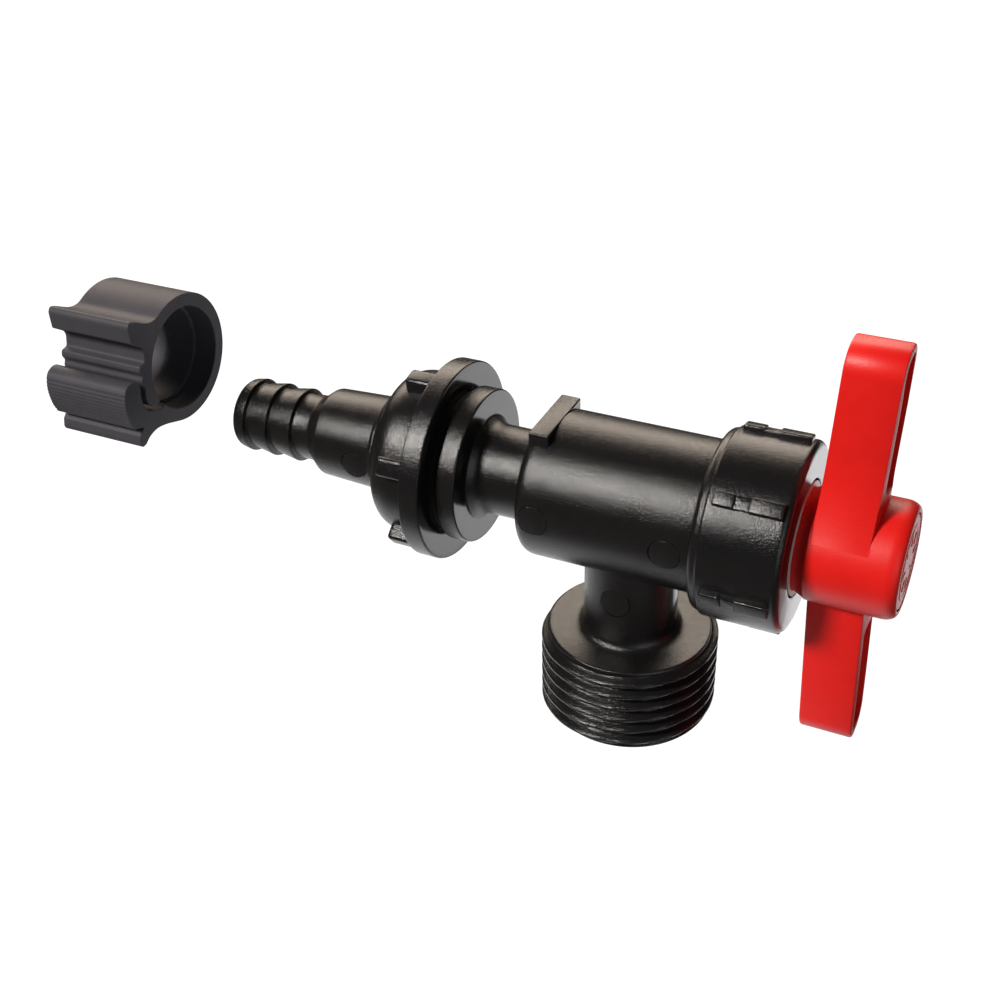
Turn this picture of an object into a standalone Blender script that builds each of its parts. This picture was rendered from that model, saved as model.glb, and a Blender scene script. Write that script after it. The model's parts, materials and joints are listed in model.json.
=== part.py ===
"""Bulkhead wash-down valve: barbed inlet, rotary plug, threaded outlet, T-handle and a loose hose clip.

Units are metres, +Z is up. The flow axis is world X and the panel seat of the collar lies at x = 0.
The outlet points down and the handle's wings stand in line with it, which is the open position.
"""

import math

import bmesh
import bpy
from mathutils import Matrix, Vector

MM = 0.001

# Flow axis, barb and tail (x positions and radii in millimetres)
BARB_TIP_X = -39.8
BARB_CRESTS_X = (-37.6, -33.4, -29.0)
BARB_CREST_R = 5.92
BARB_ROOT_R = 5.2
TAIL_X = (-23.7, -13.6)
TAIL_R = (6.95, 7.4)
INLET_BORE_R = 3.9
FLOW_BORE_R = 5.2

# Threaded shank and collar
SHANK_X = (-13.5, 0.0)
SHANK_CREST_R = 9.0
SHANK_ROOT_R = 8.2
SHANK_PITCH = 2.0
COLLAR_X = (0.0, 2.96)
COLLAR_R = 11.9

# Pipe, chamber and bonnet thread
PIPE_R = 6.9
CHAMBER_X = (11.9, 38.2)
CHAMBER_R = 11.3
CHAMBER_ROUND = 2.0
CAVITY_X = 14.4
CAVITY_R = 8.6
BONNET_END_X = 47.5
BONNET_PITCH_R = 10.6

# Outlet spout, turned about a vertical axis
OUTLET_X = 26.7
NECK_R = 7.15
NECK_BOTTOM_Z = -22.5
OUTLET_CREST_R = 13.65
OUTLET_ROOT_R = 12.45
OUTLET_PITCH = 2.21
OUTLET_END_Z = -37.33
OUTLET_END_R = 12.2
OUTLET_BORE_R = 9.2
PORT_R = 4.5

# Nuts
NUT_X = (-11.8, -1.1)
NUT_R = 12.8
FLANGE_X = (-4.3, -1.1)
FLANGE_R = 15.46
LUG_COUNT = 6
LUG_ANGLE = 20.3
BONNET_NUT_X = (38.6, 51.9)
BONNET_NUT_R = 13.9
RIB_COUNT = 6
RIB_ANGLE = 45.0
THREAD_GAP = 0.2

# Rotor
PLUG_R = 8.5
STEM_R = 4.4
SQUARE_HALF = 3.0
SOCKET_GAP = 0.2
PLUG_PORT_R = 4.5
PLUG_GROOVES_X = ((16.6, 18.4), (37.8, 39.6))
PLUG_GROOVE_R = 6.8
HANDLE_NECK_X = (49.2, 52.1)
HANDLE_NECK_R = 7.4
HUB_R = 8.4
HUB_FRONT_X = 66.4
HUB_ROUND = 1.4
HUB_POCKET_X = (60.5, 64.7)
HUB_POCKET_R = 6.3
CAP_SEAT_R = 7.0
SCREW_HOLE_R = 1.8

# The wings lean away from the hub: x = base + lean * |z|
WING_TIP_Z = 31.8
WING_REAR = (53.65, 0.042)
WING_FRONT = (61.75, 0.03)
WING_HALF_Y = 4.0
TIP_ROUND = 3.4
FLARE_R = 24.4
RECESS_FLOOR_X = 57.2
RECESS_HALF_Y = 2.9
RECESS_Z = (10.2, 30.5)

# White bush between the handle's neck and the bonnet nut, just proud of the nut
NECK_BUSH_X = (49.1, 51.95)
NECK_BUSH_R = (7.5, 8.3)

# Plain rings: ends along the flow axis, then inside and outside radius
THRUST_WASHER_X = (41.3, 42.1)
THRUST_WASHER_R = (4.7, 8.2)
SCREW_WASHER_X = (60.8, 61.4)
SCREW_WASHER_R = (1.75, 3.6)
PANEL_WASHER_X = (-2.1, -0.3)
PANEL_WASHER_R = (9.3, 11.0)

# Hose clip, one extruded strip bent to a ring with two interlocking jaws
CLIP_X = (-67.1, -51.6)
CLIP_AXIS_Z = 7.6
CLIP_INNER_R = 8.49
CLIP_STEP_R = 8.0
CLIP_STEP_DEPTHS = (5.6, 4.0)
CLIP_OUTER_R = 10.65

# Smoothness
FINE = 44
THREAD_SEGMENTS = 32
OUTLET_SEGMENTS = 36
ROWS_PER_PITCH = 5


def clear_scene():
    """Remove the objects of the open scene."""
    for item in list(bpy.data.objects):
        bpy.data.objects.remove(item, do_unlink=True)


def material(name, color, roughness, metallic=0.0):
    """Return a Principled material with a plain colour."""
    mat = bpy.data.materials.new(name)
    mat.use_nodes = True
    shader = mat.node_tree.nodes["Principled BSDF"]
    shader.inputs["Base Color"].default_value = (*color, 1.0)
    shader.inputs["Roughness"].default_value = roughness
    shader.inputs["Metallic"].default_value = metallic
    mat.diffuse_color = (*color, 1.0)
    return mat


def object_from(name, bm, mat, smooth_angle=35.0):
    """Turn a bmesh into a named object, facing out and shaded smooth up to the given angle."""
    bmesh.ops.recalc_face_normals(bm, faces=bm.faces[:])
    mesh = bpy.data.meshes.new(name)
    for face in bm.faces:
        face.smooth = smooth_angle > 0.0
    bm.to_mesh(mesh)
    bm.free()
    if smooth_angle > 0.0:
        mesh.set_sharp_from_angle(angle=math.radians(smooth_angle))
    item = bpy.data.objects.new(name, mesh)
    bpy.context.scene.collection.objects.link(item)
    if mat is not None:
        mesh.materials.append(mat)
    return item


def around_x(along, radius, angle):
    """Point at an angle about the X axis, counted from +Y towards +Z."""
    return Vector((along, radius * math.cos(angle), radius * math.sin(angle)))


def around_z(along, radius, angle):
    """Point at an angle about a vertical axis, counted from +X towards +Y."""
    return Vector((radius * math.cos(angle), radius * math.sin(angle), along))


def lathe(profile, segments, place=around_x, closed=False, wave=None):
    """Turn (along, radius) points in millimetres about an axis.

    An open profile starts and ends on the axis. A closed profile is a ring's section.
    wave(along, angle) is added to the radius of the points listed as (along, radius, True).
    """
    bm = bmesh.new()
    rings = []
    for point in profile:
        along, radius = point[0], point[1]
        threaded = len(point) > 2
        if radius < 1e-6:
            rings.append([bm.verts.new(place(along, 0.0, 0.0) * MM)])
            continue
        ring = []
        for step in range(segments):
            angle = 2.0 * math.pi * step / segments
            extra = wave(along, angle) if threaded else 0.0
            ring.append(bm.verts.new(place(along, radius + extra, angle) * MM))
        rings.append(ring)
    pairs = list(zip(rings, rings[1:]))
    if closed:
        pairs.append((rings[-1], rings[0]))
    for low, high in pairs:
        for step in range(segments):
            ahead = (step + 1) % segments
            corners = [low[step % len(low)], low[ahead % len(low)]]
            corners += [high[ahead % len(high)], high[step % len(high)]]
            unique = list(dict.fromkeys(corners))
            if len(unique) > 2:
                bm.faces.new(unique)
    return bm


def thread_form(phase):
    """Rounded trapezoid between 0 at the root and 1 at the crest, one turn per unit of phase."""
    return min(1.0, max(0.0, 0.5 + 0.78 * math.cos(2.0 * math.pi * phase)))


def thread_wave(pitch, depth, start, end, fade):
    """Right-hand helix that fades in at start and out at end, over fade millimetres."""
    def wave(along, angle):
        rise = min(1.0, max(0.0, (along - start) / fade))
        fall = min(1.0, max(0.0, (end - along) / fade))
        return depth * min(rise, fall) * thread_form(along / pitch - angle / (2.0 * math.pi))
    return wave


def thread_rows(start, end, pitch, root, rows=ROWS_PER_PITCH):
    """Profile points for a threaded stretch, a fixed number of rows in each pitch."""
    count = int(round(abs(end - start) / pitch * rows))
    return [(start + (end - start) * row / count, root, True) for row in range(count + 1)]


def block(low, high, bevel=0.0, segments=2):
    """Box between two corners in millimetres, with its edges rounded."""
    bm = bmesh.new()
    bmesh.ops.create_cube(bm, size=1.0)
    low, high = Vector(low), Vector(high)
    for vert in bm.verts:
        vert.co = Vector([(low[i] + high[i]) / 2 + vert.co[i] * (high[i] - low[i]) for i in range(3)]) * MM
    if bevel > 0.0:
        bmesh.ops.bevel(bm, geom=bm.edges[:], offset=bevel * MM, segments=segments,
                        profile=0.5, affect="EDGES")
    return bm


def strip(sections):
    """Solid through (x, outline) sections in millimetres; points shared at one x become a step."""
    bm = bmesh.new()
    rings = []
    for x, outline in sections:
        before = {vert.co.to_tuple(7): vert for vert in rings[-1]} if rings else {}
        ring = []
        for y, z in outline:
            place = Vector((x, y, z)) * MM
            ring.append(before.get(place.to_tuple(7)) or bm.verts.new(place))
        rings.append(ring)
    bm.faces.new(rings[0])
    bm.faces.new(list(reversed(rings[-1])))
    for near, far in zip(rings, rings[1:]):
        for step in range(len(near)):
            ahead = (step + 1) % len(near)
            unique = list(dict.fromkeys([near[ahead], near[step], far[step], far[ahead]]))
            if len(unique) > 2:
                bm.faces.new(unique)
    bm.normal_update()
    ends = [face for face in bm.faces if len(face.verts) > 4]
    bmesh.ops.triangulate(bm, faces=ends, ngon_method="EAR_CLIP")
    return bm


def shifted(bm, offset):
    """Move a bmesh by an offset in millimetres."""
    bmesh.ops.translate(bm, verts=bm.verts[:], vec=Vector(offset) * MM)
    return bm


def arrayed(pieces):
    """Collect several bmeshes, each turned about X by its angle in degrees, in one bmesh."""
    whole = bmesh.new()
    for bm, angle in pieces:
        bmesh.ops.rotate(bm, verts=bm.verts[:], matrix=Matrix.Rotation(math.radians(angle), 3, "X"))
        part = bpy.data.meshes.new("piece")
        bm.to_mesh(part)
        bm.free()
        whole.from_mesh(part)
        bpy.data.meshes.remove(part)
    return whole


def combine(target, bm, operation, name):
    """Union or cut a hidden helper body with an exact Boolean."""
    helper = object_from(name, bm, None, 0.0)
    helper.hide_render = True
    helper.display_type = "WIRE"
    helper.parent = target.parent
    modifier = target.modifiers.new(name, "BOOLEAN")
    modifier.operation = operation
    modifier.solver = "EXACT"
    modifier.object = helper


def empty(name, place):
    """Empty that marks a joint axis."""
    marker = bpy.data.objects.new(name, None)
    marker.empty_display_size = 0.01
    marker.location = Vector(place) * MM
    bpy.context.scene.collection.objects.link(marker)
    return marker


def arc(center, radius, start, end, count):
    """Points on a circular arc, with angles in degrees."""
    points = []
    for step in range(count + 1):
        angle = math.radians(start + (end - start) * step / count)
        points.append((center[0] + radius * math.cos(angle), center[1] + radius * math.sin(angle)))
    return points


def make_valve_body(mat):
    """One moulding: barb, tail, shank, collar, pipe, chamber, bonnet thread and outlet spout."""
    outline = [(BARB_TIP_X, 0.0), (BARB_TIP_X, 5.2), (BARB_TIP_X + 0.5, 5.6)]
    for crest in BARB_CRESTS_X:
        outline += [(crest, BARB_CREST_R), (crest + 0.2, BARB_ROOT_R)]
    outline += [(-25.8, 5.3), (TAIL_X[0], TAIL_R[0]), (TAIL_X[1], TAIL_R[1])]
    outline += [(SHANK_X[0], SHANK_ROOT_R)]
    outline += thread_rows(SHANK_X[0] + 0.4, -1.0, SHANK_PITCH, SHANK_ROOT_R)
    outline += [(0.0, SHANK_ROOT_R), (0.0, COLLAR_R - 0.25), (0.25, COLLAR_R)]
    outline += [(COLLAR_X[1] - 0.2, COLLAR_R), (COLLAR_X[1], COLLAR_R - 0.2), (COLLAR_X[1], 8.5)]
    outline += [(3.2, 7.7), (3.8, 7.15), (4.8, PIPE_R), (CHAMBER_X[0], PIPE_R)]
    outline += arc((CHAMBER_X[0] + CHAMBER_ROUND, CHAMBER_R - CHAMBER_ROUND), CHAMBER_ROUND, 180.0, 90.0, 5)
    outline += [(CHAMBER_X[1] - 0.3, CHAMBER_R), (CHAMBER_X[1], BONNET_PITCH_R)]
    outline += [(BONNET_END_X - 0.5, BONNET_PITCH_R), (BONNET_END_X, 10.1), (BONNET_END_X, 0.0)]

    shank_wave = thread_wave(SHANK_PITCH, SHANK_CREST_R - SHANK_ROOT_R, SHANK_X[0], 0.0, 1.2)
    body = object_from("valve_body", lathe(outline, THREAD_SEGMENTS, wave=shank_wave), mat)

    spout = [(-6.0, 0.0), (-6.0, NECK_R), (NECK_BOTTOM_Z + 0.8, NECK_R), (NECK_BOTTOM_Z, 7.6)]
    spout += [(NECK_BOTTOM_Z, 12.0)]
    spout += thread_rows(NECK_BOTTOM_Z - 0.35, OUTLET_END_Z + 0.55, OUTLET_PITCH, OUTLET_ROOT_R, 6)
    spout += [(OUTLET_END_Z, OUTLET_END_R - 0.4), (OUTLET_END_Z, 0.0)]
    spout_wave = thread_wave(OUTLET_PITCH, OUTLET_CREST_R - OUTLET_ROOT_R, OUTLET_END_Z, NECK_BOTTOM_Z, 1.0)
    spout_body = lathe(spout, OUTLET_SEGMENTS, around_z, wave=spout_wave)
    combine(body, shifted(spout_body, (OUTLET_X, 0.0, 0.0)), "UNION", "spout_solid")

    lug = block((12.5, -6.2, 8.0), (15.6, 6.2, 11.45), 0.3)
    combine(body, lug, "UNION", "chamber_lug_solid")

    core = [(BARB_TIP_X - 1.0, 0.0), (BARB_TIP_X - 1.0, INLET_BORE_R), (-23.5, INLET_BORE_R)]
    core += [(-20.0, FLOW_BORE_R), (CAVITY_X, FLOW_BORE_R), (CAVITY_X, CAVITY_R)]
    core += [(BONNET_END_X + 1.0, CAVITY_R), (BONNET_END_X + 1.0, 0.0)]
    combine(body, lathe(core, FINE), "DIFFERENCE", "flow_core_cutter")

    drop = [(-5.0, 0.0), (-5.0, 6.2), (-11.2, 6.2), (-11.2, PORT_R), (-24.5, PORT_R)]
    drop += [(-26.0, OUTLET_BORE_R), (OUTLET_END_Z - 1.0, OUTLET_BORE_R), (OUTLET_END_Z - 1.0, 0.0)]
    drop_core = lathe(drop, 48, around_z)
    combine(body, shifted(drop_core, (OUTLET_X, 0.0, 0.0)), "DIFFERENCE", "outlet_core_cutter")
    return body


def make_bulkhead_nut(mat):
    """Flanged nut with an inside thread that runs on the shank, and grip lugs round its barrel."""
    outline = [(NUT_X[0], 9.5), (NUT_X[0], 10.3), (-11.1, 11.5), (-10.1, 12.4), (-9.0, NUT_R)]
    outline += [(FLANGE_X[0], NUT_R), (FLANGE_X[0], FLANGE_R - 0.25), (FLANGE_X[0] + 0.25, FLANGE_R)]
    outline += [(FLANGE_X[1] - 0.25, FLANGE_R), (FLANGE_X[1], FLANGE_R - 0.25)]
    outline += [(FLANGE_X[1], 11.3), (-2.4, 11.3), (-2.4, 9.5)]
    outline += thread_rows(-2.7, -11.2, SHANK_PITCH, SHANK_ROOT_R + THREAD_GAP)

    def wave(along, angle):
        depth = SHANK_CREST_R - SHANK_ROOT_R
        return depth * thread_form(along / SHANK_PITCH - angle / (2.0 * math.pi))

    nut = object_from("bulkhead_nut", lathe(outline, THREAD_SEGMENTS, closed=True, wave=wave), mat)
    lugs = []
    for index in range(LUG_COUNT):
        lug = block((-8.5, -15.0, -1.5), (FLANGE_X[0] + 0.6, -11.9, 1.5), 0.5, 1)
        lugs.append((lug, -LUG_ANGLE - index * 360.0 / LUG_COUNT))
    combine(nut, arrayed(lugs), "UNION", "nut_lugs_solid")
    return nut


def make_bonnet_nut(mat):
    """Ribbed nut that screws on the chamber and closes it round the handle's neck."""
    outline = [(BONNET_NUT_X[0], 11.4), (BONNET_NUT_X[0], 11.9), (38.95, 12.6), (39.6, 13.3), (40.35, 13.6)]
    outline += [(40.45, BONNET_NUT_R), (BONNET_NUT_X[1] - 0.7, BONNET_NUT_R)]
    outline += [(BONNET_NUT_X[1], BONNET_NUT_R - 0.6), (BONNET_NUT_X[1], 8.6), (48.8, 8.6)]
    outline += [(48.8, BONNET_PITCH_R + 0.3), (39.1, BONNET_PITCH_R + 0.3)]
    nut = object_from("bonnet_nut", lathe(outline, FINE, closed=True), mat)
    ribs = []
    for index in range(RIB_COUNT):
        rib = block((41.2, -14.8, -1.1), (50.9, -13.0, 1.1), 0.3, 1)
        ribs.append((rib, -RIB_ANGLE - index * 360.0 / RIB_COUNT))
    combine(nut, arrayed(ribs), "UNION", "nut_ribs_solid")
    return nut


def make_plug(mat):
    """Hollow rotary plug: inlet along the axis, port at its side, stem with a square end."""
    outline = [(34.0, 0.0), (32.0, FLOW_BORE_R), (14.7, FLOW_BORE_R), (14.7, PLUG_R - 0.3), (15.0, PLUG_R)]
    for start, end in PLUG_GROOVES_X:
        outline += [(start, PLUG_R), (start, PLUG_GROOVE_R), (end, PLUG_GROOVE_R), (end, PLUG_R)]
    outline += [(41.0, PLUG_R), (41.0, STEM_R), (48.9, STEM_R), (48.9, 0.0)]
    plug = object_from("valve_plug", lathe(outline, FINE), mat)
    square = block((48.0, -SQUARE_HALF, -SQUARE_HALF), (58.5, SQUARE_HALF, SQUARE_HALF), 0.3)
    combine(plug, square, "UNION", "stem_square_solid")
    port = lathe([(-0.7, 0.0), (-0.7, PLUG_PORT_R), (-10.0, PLUG_PORT_R), (-10.0, 0.0)], 38, around_z)
    combine(plug, shifted(port, (OUTLET_X, 0.0, 0.0)), "DIFFERENCE", "plug_port_cutter")
    hole = lathe([(52.0, 0.0), (52.0, 1.75), (60.0, 1.75), (60.0, 0.0)], 24)
    combine(plug, hole, "DIFFERENCE", "screw_hole_cutter")
    return plug


def make_handle(mat):
    """Two-wing handle with a round hub, a neck for the bonnet nut and a hollow front on each wing."""
    start, end = HANDLE_NECK_X
    hub = [(start, 0.0), (start, HANDLE_NECK_R - 0.3), (start + 0.3, HANDLE_NECK_R), (end, HANDLE_NECK_R)]
    hub += [(WING_REAR[0] - 0.05, 8.15), (WING_REAR[0] + 0.1, 8.3), (57.0, HUB_R)]
    hub += arc((HUB_FRONT_X - HUB_ROUND, HUB_R - HUB_ROUND), HUB_ROUND, 90.0, 0.0, 5)
    hub += [(HUB_FRONT_X, 0.0)]
    handle = object_from("t_handle", lathe(hub, FINE), mat)

    outline = []
    flare_z = math.sqrt((HUB_R + FLARE_R) ** 2 - (WING_HALF_Y + FLARE_R) ** 2)
    flare_end = -math.degrees(math.asin(flare_z / (HUB_R + FLARE_R)))
    for side, turn in ((1.0, 0.0), (-1.0, 180.0)):
        center_y, center_z = (WING_HALF_Y - TIP_ROUND) * side, (WING_TIP_Z - TIP_ROUND) * side
        outline += arc((center_y, center_z), TIP_ROUND, turn, turn + 90.0, 6)
        outline += arc((-center_y, center_z), TIP_ROUND, turn + 90.0, turn + 180.0, 6)
        flare = arc((-(WING_HALF_Y + FLARE_R), flare_z), FLARE_R, 0.0, flare_end, 5)
        outline += [(side * y, side * z) for y, z in flare]
        outline.append((-WING_HALF_Y * side, 0.0))

    wing = bmesh.new()

    def wing_face(base, lean):
        return [wing.verts.new(Vector((base + lean * abs(z), y, z)) * MM) for y, z in outline]

    rear, front = wing_face(*WING_REAR), wing_face(*WING_FRONT)
    wing.faces.new(rear)
    wing.faces.new(list(reversed(front)))
    for step in range(len(outline)):
        ahead = (step + 1) % len(outline)
        wing.faces.new([rear[ahead], rear[step], front[step], front[ahead]])
    wing.normal_update()
    ends = [face for face in wing.faces if len(face.verts) > 4]
    bmesh.ops.triangulate(wing, faces=ends, ngon_method="EAR_CLIP")
    combine(handle, wing, "UNION", "wings_solid")

    low = (RECESS_FLOOR_X, -RECESS_HALF_Y, RECESS_Z[0])
    high = (HUB_FRONT_X + 3.6, RECESS_HALF_Y, RECESS_Z[1])
    recesses = [(block(low, high, 1.2), angle) for angle in (0.0, 180.0)]
    combine(handle, arrayed(recesses), "DIFFERENCE", "wing_recess_cutter")

    pocket = [(HUB_POCKET_X[0], 0.0), (HUB_POCKET_X[0], HUB_POCKET_R), (HUB_POCKET_X[1], HUB_POCKET_R)]
    pocket += [(HUB_POCKET_X[1], CAP_SEAT_R), (HUB_FRONT_X + 3.6, CAP_SEAT_R), (HUB_FRONT_X + 3.6, 0.0)]
    combine(handle, lathe(pocket, FINE), "DIFFERENCE", "hub_pocket_cutter")
    wide = SQUARE_HALF + SOCKET_GAP
    socket = block((48.0, -wide, -wide), (58.9, wide, wide))
    combine(handle, socket, "DIFFERENCE", "stem_socket_cutter")
    hole = lathe([(58.0, 0.0), (58.0, SCREW_HOLE_R), (61.5, SCREW_HOLE_R), (61.5, 0.0)], 24)
    combine(handle, hole, "DIFFERENCE", "handle_screw_cutter")
    return handle


def make_screw(mat):
    """Pan-head screw with a cross recess."""
    outline = [(52.3, 0.0), (53.1, 1.3), (61.7, 1.4), (61.7, 3.1), (62.6, 3.1), (63.2, 2.5), (63.4, 1.6)]
    outline += [(63.4, 0.0)]
    screw = object_from("handle_screw", lathe(outline, 32), mat)
    for index, (half_y, half_z) in enumerate(((1.9, 0.4), (0.4, 1.9))):
        slot = block((62.5, -half_y, -half_z), (65.0, half_y, half_z))
        combine(screw, slot, "DIFFERENCE", "cross_recess_cutter_%d" % index)
    return screw


def make_port_seal(mat):
    """Ring seal in the mouth of the outlet, hollowed on top to follow the plug."""
    section = [(-7.0, 4.7), (-7.0, 5.9), (-10.9, 5.9), (-10.9, 4.7)]
    ring = lathe(section, 48, around_z, closed=True)
    seal = object_from("port_seal", shifted(ring, (OUTLET_X, 0.0, 0.0)), mat)
    plug = lathe([(15.0, 0.0), (15.0, PLUG_R + 0.3), (38.0, PLUG_R + 0.3), (38.0, 0.0)], FINE)
    combine(seal, plug, "DIFFERENCE", "plug_shape_cutter")
    return seal


def make_oring(name, x, radius, section, mat):
    """Round rubber ring about the flow axis."""
    points = arc((x, radius), section, 0.0, 324.0, 9)
    return object_from(name, lathe(points, 32, closed=True), mat, 60.0)


def make_ring(name, ends_x, radii, mat):
    """Plain flat-ended ring about the flow axis."""
    start, end = ends_x
    inner, outer = radii
    return object_from(name, lathe([(start, inner), (start, outer), (end, outer), (end, inner)], FINE, closed=True), mat)


def clip_outline(inner_r):
    """(y, z) outline of the clip's ring and jaws for one inside radius."""
    outer = arc((0.0, 0.0), CLIP_OUTER_R, -113.0, 117.0, 30)
    upper = [(-5.6, 9.25), (-6.6, 9.25), (-7.6, 9.45), (-9.0, 10.1), (-11.0, 11.25), (-11.7, 11.3)]
    upper += [(-12.15, 10.8), (-12.05, 7.9), (-9.75, 6.35), (-9.5, 5.9), (-9.6, 4.2), (-9.95, 3.5)]
    upper += [(-11.05, 3.4), (-11.25, 2.6), (-10.75, 1.6), (-11.1, 0.9), (-10.9, 0.1), (-10.6, -0.8)]
    upper += [(-10.9, -1.9), (-10.5, -3.2), (-9.6, -4.2), (-8.3, -4.7)]
    inner = arc((0.0, 0.0), inner_r, 206.0, -141.0, 44)
    lower_in = [(-7.5, -5.5), (-9.2, -5.3), (-10.7, -4.6), (-11.6, -3.3), (-11.9, -1.8), (-11.7, -0.4)]
    lower = [(-11.6, 0.5), (-12.15, 1.2), (-12.9, 1.85), (-13.9, 1.95), (-14.9, 1.6), (-15.6, 0.8)]
    lower += [(-15.9, -0.4), (-15.85, -2.2), (-15.4, -4.2), (-14.6, -5.9), (-12.9, -6.6), (-13.7, -7.6)]
    lower += [(-13.95, -8.8), (-13.6, -9.65), (-12.9, -9.75), (-11.9, -9.0), (-10.6, -8.55), (-9.0, -8.45)]
    lower += [(-7.6, -8.75), (-6.0, -9.3)]
    return [(y, z + CLIP_AXIS_Z) for y, z in outer + upper + inner + lower_in + lower]


def make_clip(mat):
    """Ratchet hose clip: an open ring whose jaws hook into each other, wider inside at both ends."""
    wide, narrow = clip_outline(CLIP_INNER_R), clip_outline(CLIP_STEP_R)
    first, last = CLIP_X[0] + CLIP_STEP_DEPTHS[0], CLIP_X[1] - CLIP_STEP_DEPTHS[1]
    sections = [(CLIP_X[0], wide), (first, wide), (first, narrow), (last, narrow), (last, wide), (CLIP_X[1], wide)]
    return object_from("hose_clip", strip(sections), mat, 30.0)


def main():
    """Build every piece and hang the moving ones on their joint markers."""
    clear_scene()
    black = material("black_moulding", (0.030, 0.029, 0.030), 0.42)
    nut_black = material("nut_moulding", (0.028, 0.027, 0.028), 0.38)
    red = material("handle_red", (0.70, 0.012, 0.014), 0.32)
    grey = material("clip_charcoal", (0.055, 0.052, 0.060), 0.55)
    white = material("acetal_white", (0.78, 0.78, 0.75), 0.35)
    rubber = material("seal_rubber", (0.018, 0.018, 0.018), 0.70)
    steel = material("stainless", (0.62, 0.62, 0.61), 0.25, 1.0)

    rotor = empty("handle_axis", (0.0, 0.0, 0.0))
    nut_axis = empty("bulkhead_nut_axis", (0.0, 0.0, 0.0))
    clip_axis = empty("clip_axis", (0.0, 0.0, 0.0))

    make_valve_body(black)
    make_bonnet_nut(nut_black)
    make_port_seal(rubber)
    object_from("gland_ring", lathe([(42.4, STEM_R + 0.1), (42.4, 8.0), (42.7, 8.3), (47.8, 8.3), (47.8, 9.9),
                                     (48.5, 9.9), (48.5, 5.0), (46.4, STEM_R + 0.1), (46.4, 6.2), (44.6, 6.2),
                                     (44.6, STEM_R + 0.1)], FINE, closed=True), white)
    make_ring("neck_bush", NECK_BUSH_X, NECK_BUSH_R, white)
    make_oring("stem_oring", 45.5, 5.3, 0.6, rubber)

    moving = [make_plug(white), make_handle(red), make_screw(steel)]
    moving.append(make_oring("plug_oring_inner", 17.5, 7.7, 0.6, rubber))
    moving.append(make_oring("plug_oring_outer", 38.7, 7.7, 0.6, rubber))
    moving.append(make_ring("thrust_washer", THRUST_WASHER_X, THRUST_WASHER_R, white))
    moving.append(make_ring("screw_washer", SCREW_WASHER_X, SCREW_WASHER_R, steel))
    moving.append(object_from("hub_cap", lathe([(65.0, 0.0), (65.0, 6.7), (66.0, 6.7), (HUB_FRONT_X, 6.3),
                                                (HUB_FRONT_X, 0.0)], FINE), red))
    for item in moving:
        item.parent = rotor

    make_bulkhead_nut(nut_black).parent = nut_axis
    make_ring("bulkhead_washer", PANEL_WASHER_X, PANEL_WASHER_R, rubber).parent = nut_axis
    make_clip(grey).parent = clip_axis


main()
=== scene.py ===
import json
import math

import bmesh
import bpy
import numpy as np
from mathutils import Matrix, Vector


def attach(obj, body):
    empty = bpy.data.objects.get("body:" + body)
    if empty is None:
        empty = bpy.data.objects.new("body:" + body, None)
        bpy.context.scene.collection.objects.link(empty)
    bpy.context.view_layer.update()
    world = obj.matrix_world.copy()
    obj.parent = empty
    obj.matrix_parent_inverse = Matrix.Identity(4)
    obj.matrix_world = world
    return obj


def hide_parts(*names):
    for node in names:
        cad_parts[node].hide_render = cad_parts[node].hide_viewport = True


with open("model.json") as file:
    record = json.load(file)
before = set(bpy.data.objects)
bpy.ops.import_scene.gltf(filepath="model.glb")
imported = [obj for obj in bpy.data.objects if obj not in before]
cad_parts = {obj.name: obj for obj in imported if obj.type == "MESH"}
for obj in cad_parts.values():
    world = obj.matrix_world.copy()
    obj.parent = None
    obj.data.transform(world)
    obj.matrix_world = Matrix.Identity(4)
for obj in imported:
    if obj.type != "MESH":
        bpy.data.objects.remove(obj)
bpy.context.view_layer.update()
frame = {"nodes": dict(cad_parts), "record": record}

mm = 0.001
tau = 2.0 * math.pi
samePoint = 1e-4  # two points closer than this are one
boreLimitR = 8.0  # no thread starts at a smaller radius

# all sizes are millimetres: x along the flow axis from the panel seat, z up


# an object at the origin that shows the mesh, lamp or camera data
def newObject(name, data):
    item = bpy.data.objects.new(name, data)
    bpy.context.scene.collection.objects.link(item)
    return item


# smooth shading, with an edge sharp where its two faces turn by more than the angle
def sharpen(mesh, degrees):
    mesh.polygons.foreach_set("use_smooth", np.ones(len(mesh.polygons), bool))
    mesh.set_sharp_from_angle(angle=math.radians(degrees))
    mesh.update()


# quads between neighbouring rows i, i+1 and columns j, j+1 (j wraps, and so does i when closed);
# a pole is one point that closes the first or last row with a fan of triangles
def gridMesh(name, rows, poleStart, poleEnd, closed):
    count, columns = rows.shape[0], rows.shape[1]
    index = np.arange(count * columns).reshape(count, columns)
    low, high = (index, np.roll(index, -1, 0)) if closed else (index[:-1], index[1:])
    quads = np.stack([low, np.roll(low, -1, 1), np.roll(high, -1, 1), high], -1).reshape(-1, 4)
    faces = quads.tolist()
    points = rows.reshape(-1, 3)
    if poleStart is not None:
        points = np.vstack([points, poleStart])
        ring = index[0]
        faces += np.stack([np.full(columns, len(points) - 1), np.roll(ring, -1), ring], -1).tolist()
    if poleEnd is not None:
        points = np.vstack([points, poleEnd])
        ring = index[-1]
        faces += np.stack([np.full(columns, len(points) - 1), ring, np.roll(ring, -1)], -1).tolist()
    mesh = bpy.data.meshes.new(name)
    mesh.from_pydata((points * mm).tolist(), [], faces)
    return mesh


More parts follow.
